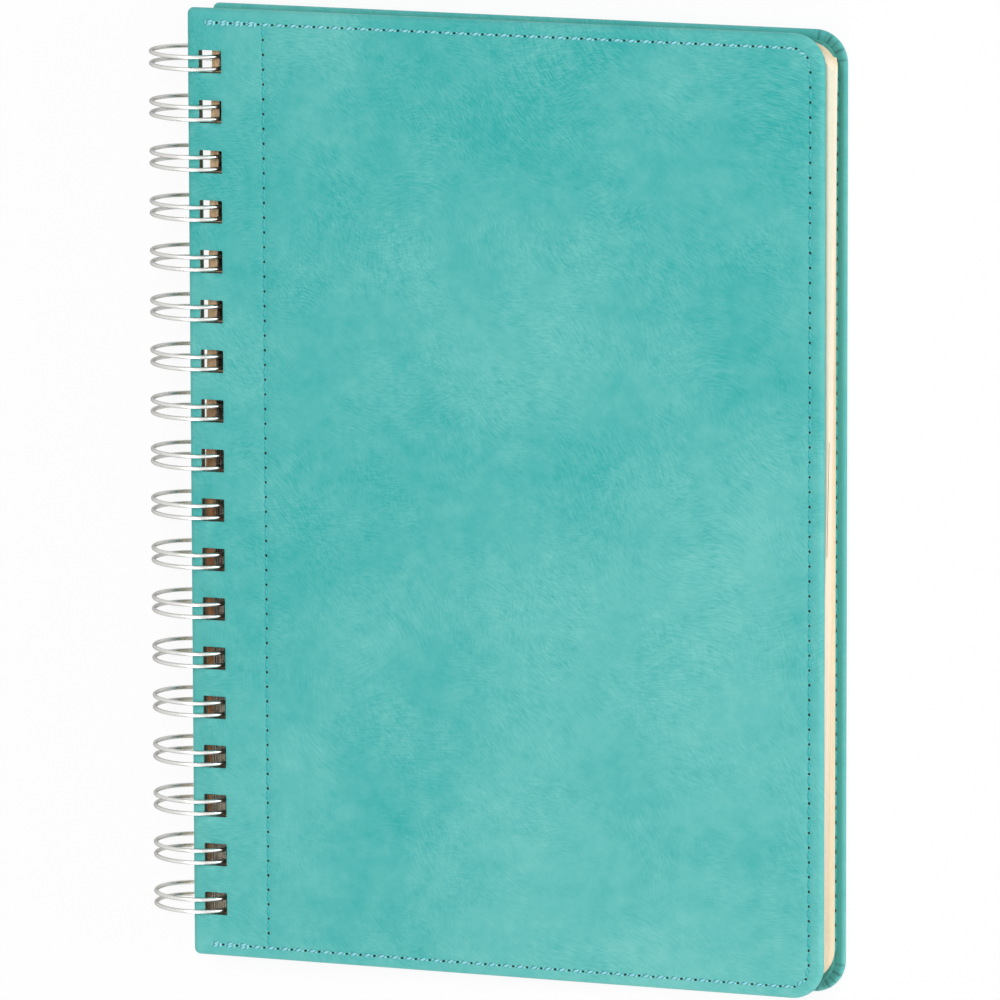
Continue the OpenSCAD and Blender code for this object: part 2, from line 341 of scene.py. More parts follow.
# %% Paper
def paper_look():
    material, tree, shader = new_material("cream_paper")
    place = object_place(tree)
    # The lower third of the cut is painted a darker, warmer cream as the shade of the back cover.
    cut = ramp(tree, mark(tree, "share"), [(0.0, srgb(255, 246, 228)), (0.05, srgb(240, 220, 184)),
                                           (0.34, srgb(244, 226, 192)), (0.44, srgb(255, 240, 221)),
                                           (1.0, srgb(255, 241, 223))])
    sheets = noise(tree, mapped(tree, place, Scale=(20, 20, 12000)), 1.0, 2.0)
    cut = mix(tree, 0.25, cut, ramp(tree, sheets, [(0.35, 0.35), (0.6, 0.55)]), "SOFT_LIGHT")
    # The walls of the punched holes and of the slit are painted dark brown as shade.
    cut = mix(tree, mark(tree, "punched"), cut, srgb(88, 70, 54))
    pulp = noise(tree, place, 900.0, 4.0, 0.6)
    face = ramp(tree, pulp, [(0.3, srgb(249, 236, 212)), (0.7, srgb(253, 242, 222))])
    fibres = noise(tree, mapped(tree, place, Scale=(900, 300, 900)), 1.0, 4.0, 0.7)
    # The strip under the holes is painted shade: deeper brown towards the foot, and paler towards the head
    # as painted light.
    dark = ramp(tree, fibres, [(0.35, srgb(126, 82, 54)), (0.7, srgb(178, 126, 86))])
    head_lit_strip = ramp(tree, fibres, [(0.35, srgb(190, 154, 112)), (0.65, srgb(234, 206, 168))])
    high = maths(tree, "MULTIPLY_ADD", part_of(tree, place, "Y"), 5.0, 0.5)
    strip_shading = mix(tree, ramp(tree, high, [(0.45, 0.0), (0.75, 1.0)]), dark, head_lit_strip)
    face = mix(tree, mark(tree, "hole_shade_strip"), face, strip_shading)
    plug(shader, {"Base Color": mix(tree, mark(tree, "cut_edge"), face, cut), "Roughness": 0.85,
                  "Normal": relief(tree, sheets, 0.3, 0.00008), "Specular IOR Level": 0.2})
    return material


paper = paper_look()

# %% Thread, needle hole and wire
def thread_look():
    material, tree, shader = new_material("sewing_thread")
    uv = out_of(tree, "ShaderNodeUVMap", uv_map="UVMap")
    along, around = part_of(tree, uv, "X"), part_of(tree, uv, "Y")
    ply = maths(tree, "PINGPONG", maths(tree, "FRACT", maths(tree, "ADD", along, around)), 0.5)
    off_top = maths(tree, "ABSOLUTE", maths(tree, "SUBTRACT", around, 0.5))
    crown = maths(tree, "SUBTRACT", ply, maths(tree, "MULTIPLY", off_top, 0.5))
    # The lighter ramp is a painted highlight on the crowns of the plies, for stitches that run across the
    # light from the head; the plainer ramp is for stitches that run along it.
    ply_highlight = ramp(tree, crown, [(0.02, srgb(30, 142, 144)), (0.24, srgb(142, 216, 226))])
    plain = ramp(tree, ply, [(0.02, srgb(30, 154, 156)), (0.20, srgb(48, 178, 178))])
    plug(shader, {"Base Color": mix(tree, mark(tree, "across"), plain, ply_highlight), "Roughness": 0.38,
                  "Normal": relief(tree, ply, 0.8, 0.00008), "Sheen Weight": 0.2})
    return material


def needle_shade_look():
    material, tree, shader = new_material("needle_hole_shade")
    # The dark dot is painted shade that stands for the shade inside the needle hole.
    fuzz = noise(tree, object_place(tree), 2500.0)
    tone = ramp(tree, fuzz, [(0.3, srgb(2, 24, 24)), (0.7, srgb(6, 44, 42))])
    plug(shader, {"Base Color": tone, "Roughness": 0.9})
    return material


def wire_look():
    material, tree, shader = new_material("satin_wire")
    coat = noise(tree, object_place(tree), 700.0, 3.0, 0.6)
    tone = ramp(tree, coat, [(0.35, srgb(219, 218, 214)), (0.65, srgb(225, 224, 221))])
    plug(shader, {"Base Color": tone, "Roughness": ramp(tree, coat, [(0.35, 0.26), (0.65, 0.31)]),
                  "Normal": relief(tree, coat, 0.04, 0.0001), "Metallic": 1.0,
                  "Specular Tint": (0.52, 0.52, 0.51, 1)})
    return material


thread, needle_hole_shade, silver = thread_look(), needle_shade_look(), wire_look()
print("materials", len(bpy.data.materials))

# %% [markdown]
# ## The skin of a cover
# On the real cover, one sheet of leatherette is wrapped round the board, rolled over its edge
# and turned in, in small pleats at the round corners. A box with a bevel can't show the
# groove along the seam or the pleats. So the faces are triangulated from points that lie
# dense where the skin bends, in rings along the edge and beside the seams, and sparse where
# it is flat. A height function then presses the seam in.

# %% Outline of a cover
end_steps, edge_steps, corner_steps, spine_steps = 112, 160, 36, 6
hole_corner_r = 0.3


def ring(inset, foot=None):
    foot = inset if foot is None else foot
    rr, rl = max(corner_r - inset, 0.0), max(spine_r - inset, 0.0)
    x0, x1, y0, y1 = inset, cover_w - inset, -cover_h / 2 + foot, cover_h / 2 - inset
    points = []

    def arc(cx, cy, r, start, steps):
        for k in range(steps):
            a = math.radians(start + 90 * k / steps)
            points.append((cx + r * math.cos(a), cy + r * math.sin(a)))

    def side(ax, ay, bx, by, steps):
        for k in range(steps):
            points.append((ax + (bx - ax) * k / steps, ay + (by - ay) * k / steps))

    side(x0 + rl, y0, x1 - rr, y0, end_steps)
    arc(x1 - rr, y0 + rr, rr, -90, corner_steps)
    side(x1, y0 + rr, x1, y1 - rr, edge_steps)
    arc(x1 - rr, y1 - rr, rr, 0, corner_steps)
    side(x1 - rr, y1, x0 + rl, y1, end_steps)
    arc(x0 + rl, y1 - rl, rl, 90, spine_steps)
    side(x0, y1 - rl, x0, y0 + rl, edge_steps)
    arc(x0 + rl, y0 + rl, rl, 180, spine_steps)
    return points


def hole_y(i):
    return ((hole_count - 1) / 2 - i) * hole_pitch


def hole_loop(i, grow=0.0):
    r = hole_corner_r + grow
    w, h = hole_w / 2 + grow - r, hole_h / 2 + grow - r
    points = []
    for cx, cy, start in ((w, -h, -90), (w, h, 0), (-w, h, 90), (-w, -h, 180)):
        for k in range(5):
            a = math.radians(start + 90 * k / 4)
            points.append((hole_mid + cx + r * math.cos(a), hole_y(i) + cy + r * math.sin(a)))
    return points


print("outline of", len(ring(0)), "points")

# %% Seam groove and pleats
groove_half, groove_deep, swell_half, swell_deep = 0.62, 0.13, 1.7, 0.07
past_spine, far_away = -60, 9
pleat_deep = 0.20
# angle from the fore-edge in degrees, half width in degrees, depth as a share
pleats = ((8, 1.6, 0.8), (27, 2.4, 1.0), (43, 1.5, 0.7), (57, 2.2, 1.0), (66, 1.3, 0.6), (81, 2.0, 0.9))


def box_distance(x, y, x0, x1, y0, y1, r):
    qx = abs(x - (x0 + x1) / 2) - (x1 - x0) / 2 + r
    qy = abs(y - (y0 + y1) / 2) - (y1 - y0) / 2 + r
    return math.hypot(max(qx, 0), max(qy, 0)) + min(max(qx, qy), 0) - r


def seam_depth(x, y):
    foot, head = seam_in_foot - cover_h / 2, cover_h / 2 - seam_in
    line = abs(box_distance(x, y, past_spine, cover_w - seam_in, foot, head, corner_r - seam_in))
    start = clamp((x - seam_start + 0.4) / 1.2)
    row = abs(x - row_x) if seam_in_foot < y + cover_h / 2 and y < head else far_away

    def dip(half):
        return max(start * math.exp(-(line / half) ** 2), math.exp(-(row / half) ** 2))

    return groove_deep * dip(groove_half) + swell_deep * dip(swell_half)


def inset_of(x, y):
    r = corner_r if x > cover_w / 2 else spine_r
    return -box_distance(x, y, 0, cover_w, -cover_h / 2, cover_h / 2, r)


def pleat(x, y):
    cx, cy = cover_w - corner_r, cover_h / 2 - corner_r
    if x < cx or abs(y) < cy:
        return 0.0
    angle = math.degrees(math.atan2(abs(y) - cy, x - cx))
    return max(deep * math.exp(-((angle - a) / wide) ** 2) for a, wide, deep in pleats)


# %% Triangulate a sheet
spine_zone, edge_zone = 2.5, 9
exactness, weld = 1e-6, 0.0005


def inside(point, loop):
    x, y = point
    found = False
    for (ax, ay), (bx, by) in zip(loop, loop[1:] + loop[:1]):
        if (ay > y) != (by > y) and x < (bx - ax) * (y - ay) / (by - ay) + ax:
            found = not found
    return found


def box_of(loop):
    xs, ys = zip(*loop)
    return min(xs), max(xs), min(ys), max(ys)


def sheet(bm, border, openings, extra, height):
    points, edges = [], []
    for loop in [border] + openings:
        first = len(points)
        points += [Vector(p) for p in loop]
        edges += [(first + k, first + (k + 1) % len(loop)) for k in range(len(loop))]
    points += [Vector(p) for p in extra]
    flat, _, faces, _, _, _ = delaunay_2d_cdt(points, edges, [], 0, exactness)
    boxes = [(box_of(opening), opening) for opening in openings]
    verts = [bm.verts.new((p.x, p.y, height(p.x, p.y))) for p in flat]
    for face in faces:
        x = sum(flat[k].x for k in face) / 3
        y = sum(flat[k].y for k in face) / 3
        outer_zone = x < spine_zone or x > cover_w - edge_zone or abs(y) > cover_h / 2 - edge_zone
        if outer_zone and not inside((x, y), border):
            continue
        near = [opening for (x0, x1, y0, y1), opening in boxes if x0 < x < x1 and y0 < y < y1]
        if any(inside((x, y), opening) for opening in near):
            continue
        bm.faces.new([verts[k] for k in face])


def wall(bm, loop, low, high):
    lower = [bm.verts.new((x, y, low(x, y))) for x, y in loop]
    upper = [bm.verts.new((x, y, high(x, y))) for x, y in loop]
    for k in range(len(loop)):
        j = (k + 1) % len(loop)
        bm.faces.new((lower[k], lower[j], upper[j], upper[k]))


# %% Points of the outer face
face_insets = (1.7, 2.2, 2.7, 3.0, 3.2, 3.4, 3.6, 3.8, 4.0, 4.2, 4.6, 5.2, 6.2, 7.6)
row_offsets = (-1.7, -1.0, -0.6, -0.3, 0, 0.3, 0.6, 1.0, 1.7)
row_end, row_step = 0.9, 1.24
grid_start, grid_step, grid_border, grid_from_row = 12.0, 3.2, 9.4, 2.4
before_holes_x, past_holes_x, hole_clear, strip_half, strip_count = 2.75, 10.9, 4, 111, 150


def face_points():
    points = []
    foot_share = (seam_in_foot - edge_r) / (seam_in - edge_r)
    for inset in face_insets:
        foot = edge_r + (inset - edge_r) * foot_share
        for x, y in ring(inset, foot):
            if inset < 2.5 or x > 11.5 or abs(y) > 112.5 and x > inset + 0.3:
                points.append((x, y))
    row_low, row_high = -cover_h / 2 + seam_in_foot + row_end, cover_h / 2 - seam_in - row_end
    count = round((row_high - row_low) / row_step)
    for offset in row_offsets:
        for k in range(count + 1):
            points.append((row_x + offset, row_low + (row_high - row_low) * k / count))
    for i in range(hole_count):
        points += hole_loop(i, 0.25) + hole_loop(i, 0.8)
    for k in range(-34, 35):
        stagger = grid_step / 2 if k % 2 else 0.0
        for j in range(0, 48):
            x, y = grid_start + stagger + grid_step * j, grid_step * k
            free = x < cover_w - grid_border and abs(y) < cover_h / 2 - grid_border
            if free and abs(x - row_x) > grid_from_row:
                points.append((x, y))
    for i in range(hole_count + 1):
        y = hole_y(i) + hole_pitch / 2
        points += [(x, y + dy) for x in (3.6, 5.2, 6.8, 8.4) for dy in (-1.5, 0, 1.5)]
    for k in range(strip_count):
        y = -strip_half + 2 * strip_half * k / (strip_count - 1)
        points.append((past_holes_x, y))
        if all(abs(y - hole_y(i)) > hole_clear for i in range(hole_count)):
            points.append((before_holes_x, y))
    return points


print("points on a face", len(face_points()))

# %% One covered board's skin, as a closed shell
hole_lip, roll_steps = 0.10, 12


def skin_mesh(name):
    bm = bmesh.new()
    holes = [hole_loop(i) for i in range(hole_count)]
    left, right, top = turn_in, cover_w - turn_in, cover_h / 2 - turn_in
    window = [(left, -top), (right, -top), (right, top), (left, top)]
    hole_edges = {(round(x, 5), round(y, 5)) for loop in holes for x, y in loop}

    def outer(x, y):
        return hole_lip if (round(x, 5), round(y, 5)) in hole_edges else seam_depth(x, y)

    def inner(x, y):
        fade = clamp((6.0 - inset_of(x, y)) / 3.0)
        return wrap_t - pleat_deep * pleat(x, y) * fade

    def level(z):
        return lambda x, y: z

    sheet(bm, ring(edge_r), holes, face_points(), outer)
    turned = [p for d in (1.8, 2.4, 3.4) for p in ring(d) if p[0] > 11]
    sheet(bm, ring(edge_r), holes + [window], turned, inner)
    sheet(bm, ring(board_inset), holes, [], level(skin_t))
    sheet(bm, ring(board_inset), holes + [window], [], level(board_top))
    wall(bm, ring(board_inset), level(skin_t), level(board_top))
    wall(bm, window, level(board_top), level(wrap_t))
    for loop in holes:
        wall(bm, loop, outer, level(skin_t))
        wall(bm, loop, level(board_top), inner)
    roll_edge(bm, outer, inner)
    bmesh.ops.remove_doubles(bm, verts=bm.verts, dist=weld)
    bmesh.ops.recalc_face_normals(bm, faces=bm.faces)
    mesh = bpy.data.meshes.new(name)
    bm.to_mesh(mesh)
    bm.free()
    return mesh


def roll_edge(bm, outer, inner):
    rows = []
    for k in range(roll_steps + 1):
        t = math.pi * k / roll_steps
        inset = edge_r * (1 - math.sin(t))
        row = []
        for x, y in ring(inset if 0 < k < roll_steps else edge_r):
            z = edge_r * (1 - math.cos(t))
            if k == 0:
                z = outer(x, y)
            elif k == roll_steps:
                z = inner(x, y)
            elif t > math.pi / 2:
                z -= pleat_deep * pleat(x, y) * (-math.cos(t))
            row.append(bm.verts.new((x, y, z)))
        rows.append(row)
    for low, high in zip(rows, rows[1:]):
        for k in range(len(low)):
            j = (k + 1) % len(low)
            bm.faces.new((low[k], low[j], high[j], high[k]))


# %% Mark the painted highlight on the rim, the painted shade in the creases and on the turned-in part, and place both skins
rim_highlight_w, inner_shade_share = 2.6, 0.25


def mark_skin(mesh):
    marks = {"rim_highlight": [], "crease_shade": [], "inner": []}
    for vertex in mesh.vertices:
        x, y, z = vertex.co
        depth = inset_of(x, y)
        turned = clamp((z - edge_r - 0.1) / 0.8) * clamp(depth / 0.9)
        fore_edge_shade = clamp((x - cover_w + 8) / 5)
        # Painted highlight on the rolled edge, fading inwards over its width.
        marks["rim_highlight"].append(clamp(1 - depth / rim_highlight_w))
        # Painted shade in the creases of the pleats on the turn-in.
        marks["crease_shade"].append(pleat(x, y) * clamp((z - edge_r) / 0.8))
        # Painted shade on the turned-in face: a quarter strength away from the fore-edge, full strength
        # along the fore-edge strip.
        marks["inner"].append(turned * (inner_shade_share + (1 - inner_shade_share) * fore_edge_shade))
    for title, values in marks.items():
        mesh.attributes.new(title, "FLOAT", "POINT").data.foreach_set("value", values)


for side, place in (("front", front_place), ("back", back_place)):
    mesh = skin_mesh(side + "_skin")
    mark_skin(mesh)
    smooth(mesh)
    skin = make_piece(side + "_cover_skin", mesh, place, side + "_cover", skin_look)
    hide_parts(side + "_wrap")

# %% [markdown]
# ## Stitches
# A lockstitch shows as a row of short arched bits of thread, and at each end the thread dives
# into a needle hole. A painted dashed line would look flat, so each stitch is a small twisted
# tube, and a dark dot is painted shade that stands for the shade in the needle hole. The
# thread of the stitches that run across gets a painted highlight on its plies. They repeat
# along a path, which is work for Geometry Nodes: the tree walks along the path in steps of one
# stitch, puts a copy at each step and turns it with the path. One tree serves for the stitches
# and for the holes.

# %% A tree that repeats a unit along a seam
def store(tree, geometry, name, value, data_type, domain):
    inputs = {"Geometry": geometry, "Name": name, "Value": value}
    return out_of(tree, "GeometryNodeStoreNamedAttribute", inputs, data_type=data_type, domain=domain)


def chance(tree, low, high, seed):
    return add(tree, "FunctionNodeRandomValue", {2: low, 3: high, "Seed": seed}).outputs[1]


def repeat_tree(name, on):
    tree = bpy.data.node_groups.new(name, "GeometryNodeTree")
    face = tree.interface
    face.new_socket("Seam", in_out="INPUT", socket_type="NodeSocketGeometry")
    face.new_socket("Unit", in_out="INPUT", socket_type="NodeSocketObject")
    for title, value in (("Pitch", 0.0037), ("Slant", 0.0), ("Size spread", 0.0)):
        face.new_socket(title, in_out="INPUT", socket_type="NodeSocketFloat").default_value = value
    face.new_socket("Seed", in_out="INPUT", socket_type="NodeSocketInt")
    face.new_socket("Finish", in_out="INPUT", socket_type="NodeSocketMaterial")
    face.new_socket("Geometry", in_out="OUTPUT", socket_type="NodeSocketGeometry")
    given = add(tree, "NodeGroupInput").outputs
    pitch, slant, seed = given["Pitch"], given["Slant"], given["Seed"]
    curve = out_of(tree, "GeometryNodeMeshToCurve", {"Mesh": given["Seam"]})
    walk = out_of(tree, "GeometryNodeResampleCurve", {"Curve": curve, "Length": pitch}, mode="LENGTH")
    chain = out_of(tree, "GeometryNodeCurveToMesh", {"Curve": walk})
    ends = add(tree, "GeometryNodeInputMeshEdgeVertices").outputs
    chord = vector_maths(tree, "SUBTRACT", ends["Position 2"], ends["Position 1"])
    chord = vector_maths(tree, "NORMALIZE", chord)
    chain = store(tree, chain, "along", chord, "FLOAT_VECTOR", "EDGE")
    spots = out_of(tree, "GeometryNodeMeshToPoints", {"Mesh": chain}, mode=on)
    along = out_of(tree, "GeometryNodeInputNamedAttribute", {"Name": "along"}, data_type="FLOAT_VECTOR")
    # How far a stitch runs across decides how much painted ply highlight its thread gets.
    across = maths(tree, "ABSOLUTE", part_of(tree, along, "X"))
    spots = store(tree, spots, "across", across, "FLOAT", "POINT")
    aim = out_of(tree, "FunctionNodeAlignEulerToVector", {"Vector": along}, axis="X", pivot_axis="Z")
    unit = add(tree, "GeometryNodeObjectInfo", {"Object": given["Unit"]}).outputs["Geometry"]
    placed = {"Points": spots, "Instance": unit, "Rotation": aim}
    copies = out_of(tree, "GeometryNodeInstanceOnPoints", placed)
    lean = chance(tree, maths(tree, "SUBTRACT", 0.0, slant), slant, seed)
    way = out_of(tree, "ShaderNodeCombineXYZ", {"Z": lean})
    copies = out_of(tree, "GeometryNodeRotateInstances", {"Instances": copies, "Rotation": way})
    size = chance(tree, maths(tree, "SUBTRACT", 1.0, given["Size spread"]), 1.0, seed)
    copies = out_of(tree, "GeometryNodeScaleInstances", {"Instances": copies, "Scale": size})
    real = out_of(tree, "GeometryNodeRealizeInstances", {"Geometry": copies})
    done = out_of(tree, "GeometryNodeSetMaterial", {"Geometry": real, "Material": given["Finish"]})
    add(tree, "NodeGroupOutput", {0: done})
    return tree


# %% Run a tree on a path and take the plain mesh
def path_object(name, runs):
    mesh = bpy.data.meshes.new(name)
    points, edges = [], []
    for run in runs:
        first = len(points)
        points += [Vector(p) * MM for p in run]
        edges += [(first + k, first + k + 1) for k in range(len(run) - 1)]
    mesh.from_pydata(points, edges, [])
    path = bpy.data.objects.new(name, mesh)
    bpy.context.scene.collection.objects.link(path)
    return path


def run_tree(path, tree, values):
    modifier = path.modifiers.new("make", "NODES")
    modifier.node_group = tree
    sockets = {s.name: s.identifier for s in tree.interface.items_tree if s.in_out == "INPUT"}
    for name, value in values.items():
        modifier[sockets[name]] = value
    path.update_tag()
    graph = bpy.context.evaluated_depsgraph_get()
    mesh = bpy.data.meshes.new_from_object(path.evaluated_get(graph))
    path.modifiers.remove(modifier)
    bpy.data.objects.remove(path)
    return mesh


# %% One stitch and one needle hole
stitch_gap, stitch_r, stitch_sides, stitch_steps, stitch_turns = 0.62, 0.29, 6, 9, 2.0
stitch_wide, stitch_flat, stitch_sunk, stitch_rise, ply_bulge = 1.8, 0.8, -0.38, 0.16, 0.16
needle_low_r, needle_high_r, needle_deep, needle_drop = 0.0002, 0.00036, 0.0002, -0.00021


def stitch_unit():
    bm = bmesh.new()
    uv = bm.loops.layers.uv.new("UVMap")
    length, sides, steps = stitch_pitch - stitch_gap, stitch_sides, stitch_steps
    rings = []
    for k in range(steps + 1):
        t = k / steps
        arch = math.sin(math.pi * t)
        middle = Vector((length * (t - 0.5), 0, stitch_sunk + stitch_rise * arch ** 0.6))
        thick = stitch_r * (0.5 + 0.5 * arch ** 0.5)
        row = []
        for s in range(sides):
            a = 2 * math.pi * s / sides
            r = thick * (1 + ply_bulge * math.cos(2 * a - math.pi * stitch_turns * t))
            out = Vector((0, stitch_wide * r * math.cos(a), stitch_flat * r * math.sin(a)))
            row.append(bm.verts.new((middle + out) * MM))
        rings.append(row)
    for k in range(steps):
        for s in range(sides):
            j = (s + 1) % sides
            face = bm.faces.new((rings[k][s], rings[k][j], rings[k + 1][j], rings[k + 1][s]))
            for loop, (dk, ds) in zip(face.loops, ((0, 0), (0, 1), (1, 1), (1, 0))):
                loop[uv].uv = (stitch_turns * (k + dk) / steps, 2 * (s + ds) / sides)
    bm.faces.new(list(reversed(rings[0])))
    bm.faces.new(rings[-1])
    bmesh.ops.recalc_face_normals(bm, faces=bm.faces)
    mesh = bpy.data.meshes.new("stitch_unit")
    bm.to_mesh(mesh)
    bm.free()
    mesh.shade_smooth()
    return bpy.data.objects.new("stitch_unit", mesh)


def needle_unit():
    bm = bmesh.new()
    bmesh.ops.create_cone(bm, cap_ends=True, segments=10, radius1=needle_low_r, radius2=needle_high_r,
                          depth=needle_deep)
    oval = Matrix.Diagonal((1.1, 0.9, 1, 1)) @ shift(0, 0, needle_drop)
    bmesh.ops.transform(bm, matrix=oval, verts=bm.verts)
    mesh = bpy.data.meshes.new("needle_unit")
    bm.to_mesh(mesh)
    bm.free()
    return bpy.data.objects.new("needle_unit", mesh)


# %% Paths of the seams
back_inner_seam = {"out_x": 1.2, "out_head": 0.9, "in_foot": 1.4, "rounder": 2.5}
tack_half, row_back = 0.3, 0.1


def seam_paths(out_x=0.0, out_head=0.0, in_foot=0.0, rounder=0.0):
    x0, x1 = seam_start, cover_w - seam_in + out_x
    y0, y1 = -cover_h / 2 + seam_in_foot + in_foot, cover_h / 2 - seam_in + out_head
    r = corner_r - seam_in + rounder
    angles = [math.radians(6 * k) for k in range(16)]
    edge = [(x0, y1)] + [(x1 - r + r * math.sin(a), y1 - r + r * math.cos(a)) for a in angles]
    edge += [(x1 - r + r * math.cos(a), y0 + r - r * math.sin(a)) for a in angles] + [(x0, y0)]
    row = [(row_x, y1 - row_back), (row_x, y0 + row_back)]
    tacks = []
    for y, count in ((y1, 4), (y0, 3)):
        for off in (tack_half, -tack_half):
            tacks.append([(x0, y + off), (x0 + count * stitch_pitch, y + off)])
    return [edge, row], tacks


def raised(runs, height):
    return [[(x, y, height) for x, y in run] for run in runs]


# %% Sew both covers
sew = repeat_tree("stitches_along_seam", "EDGES")
pierce = repeat_tree("needle_holes_along_seam", "VERTICES")
sewn = {"Unit": stitch_unit(), "Pitch": stitch_pitch * MM, "Slant": 0.06, "Size spread": 0.06,
        "Finish": thread}
pierced = {"Unit": needle_unit(), "Pitch": stitch_pitch * MM, "Slant": 0.5, "Size spread": 0.15,
           "Finish": needle_hole_shade}


def sew_runs(runs, height, tree, values, seed, face_matrix):
    mesh = run_tree(path_object("seam", raised(runs, height)), tree, {**values, "Seed": seed})
    mesh.transform(face_matrix @ Matrix.Scale(1 / MM, 4))
    return mesh, face_matrix.determinant() < 0


for side, place in (("front", front_place), ("back", back_place)):
    outward = place @ Matrix.Scale(-1, 4, (0, 0, 1))
    inward = place @ shift(0, 0, cover_t)
    thread_bits, hole_bits = [], []
    for face_matrix, sink in ((outward, 0.0), (inward, 0.02)):
        runs, tacks = seam_paths(**back_inner_seam) if side == "back" and sink else seam_paths()
        thread_bits.append(sew_runs(runs, 0.03 - sink, sew, sewn, 3, face_matrix))
        thread_bits.append(sew_runs(tacks, 0.06 - sink, sew, sewn, 8, face_matrix))
        hole_bits.append(sew_runs(runs, -0.02 - sink, pierce, pierced, 5, face_matrix))
    for kind, bits, look in (("stitching", thread_bits, thread), ("needle_holes", hole_bits, needle_hole_shade)):
        bm = bmesh.new()
        for mesh, mirrored in bits:
            if mirrored:
                mesh.flip_normals()
            bm.from_mesh(mesh)
        joined = bpy.data.meshes.new(side + "_" + kind)
        bm.to_mesh(joined)
        bm.free()
        if kind == "stitching":
            joined.shade_smooth()
        piece = make_piece(side + "_" + kind, joined, Matrix.Identity(4), side + "_cover", look)
        if kind == "stitching":
            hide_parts(side + "_edge_stitching", side + "_row_stitching")

# %% [markdown]
# ## Pages
# The block is eighty sheets on the wire. At the head they are pushed to the fore-edge side a
# little more than at the foot, so each sheet is turned by its own small angle. Eighty sheets
# of a tenth of a millimetre are finer than the eye, so thirty layers stand for them, each a
# punched sheet with its own turn and a trace of unevenness at the cut. Halfway down the
# fore-edge a few sheets don't reach the cut and leave a slit, whose walls are painted dark as
# its shade.

# %% One layer of sheets
layer_count, hole_shade_strip_w = 30, 11.0
foot_r, head_r, nib, nib_angle = 8.5, 7.5, 0.9, math.radians(32)
spine_edge_x, spine_bend_y, spine_head_x = 0.6, 25.0, 1.15
fan_back, fan_up, unevenness, slit_deep = 0.5, 0.35, 0.05, 0.08
slit = {24: (-7, 21.8), 25: (-7, 22), 26: (-7, 21.9)}
cut_random = random.Random(11)


def page_outline(notch_low, notch_high, back):
    x1, y0, y1 = page_right - page_x - back, -page_h / 2, page_h / 2
    points = [(spine_edge_x, y0)]
    for a in (math.radians(9 * k) for k in range(11)):
        points.append((x1 - foot_r + foot_r * math.sin(a), y0 + foot_r - foot_r * math.cos(a)))
    if notch_high > notch_low:
        points += [(x1, notch_low), (x1 - slit_deep, notch_low + 0.4),
                   (x1 - slit_deep, notch_high - 0.1), (x1, notch_high)]
    cx, cy = x1 - nib - head_r * math.cos(nib_angle), y1 - head_r
    points.append((x1, cy + head_r * math.sin(nib_angle) - 0.2))
    for a in (nib_angle + math.radians(5.8 * k) for k in range(11)):
        points.append((cx + head_r * math.cos(a), cy + head_r * math.sin(a)))
    return points + [(spine_head_x, y1), (spine_edge_x, spine_bend_y)]


def fan_share(share):
    stops = [(0, 0), (0.045, 0.0), (0.17, 0.2), (0.33, 0.48), (0.51, 0.72), (0.7, 0.88), (0.9, 1.0),
             (1.0, 1.0)]
    for (a, fa), (b, fb) in zip(stops, stops[1:]):
        if share <= b:
            return fa + (fb - fa) * (share - a) / (b - a)
    return 1.0


# %% Build the block
def layer_faces(layer):
    back = fan_back * fan_share((layer + 0.5) / layer_count)
    outline = page_outline(*slit.get(layer, (0, 0)), back)
    x0, x1 = page_margin, page_margin + hole_w
    lows = [hole_y(i) - hole_h / 2 for i in range(hole_count)]
    punched = [[(x0, y), (x1, y), (x1, y + hole_h), (x0, y + hole_h)] for y in lows]
    z0, z1 = page_t * layer / layer_count, page_t * (layer + 1) / layer_count
    bm = bmesh.new()
    strip_edge = [(hole_shade_strip_w, page_h / 2 * (k / 40 - 1)) for k in range(1, 80)]
    for z in (z0, z1):
        sheet(bm, outline, punched, strip_edge, lambda x, y, z=z: z)
    for loop in [outline] + punched:
        wall(bm, loop, lambda x, y: z0, lambda x, y: z1)
    bmesh.ops.remove_doubles(bm, verts=bm.verts, dist=weld)
    bmesh.ops.recalc_face_normals(bm, faces=bm.faces)
    bm.verts.index_update()
    points = [v.co.copy() for v in bm.verts]
    faces = [[v.index for v in f.verts] for f in bm.faces]
    middles = [f.calc_center_median() for f in bm.faces]
    cut = [0.0 if abs(f.normal.z) > 0.5 else 1.0 for f in bm.faces]
    bm.free()
    right = page_right - page_x - back

    # Faces painted dark as the shade inside the punched holes and the slit.
    def is_painted_shade(m):
        in_hole = 2.5 < m.x < 12 and abs(m.y) < 113
        in_slit = right - 0.12 < m.x < right - 0.03 and -8 < m.y < 23
        return in_hole or in_slit

    dark = [c * is_painted_shade(m) for c, m in zip(cut, middles)]
    top = layer == layer_count - 1
    # The top sheet's strip under the holes, which carries the painted shade.
    hole_shade_strip = [1.0 - c if m.x < hole_shade_strip_w and top else 0.0 for c, m in zip(cut, middles)]
    return points, faces, (cut, dark, hole_shade_strip)


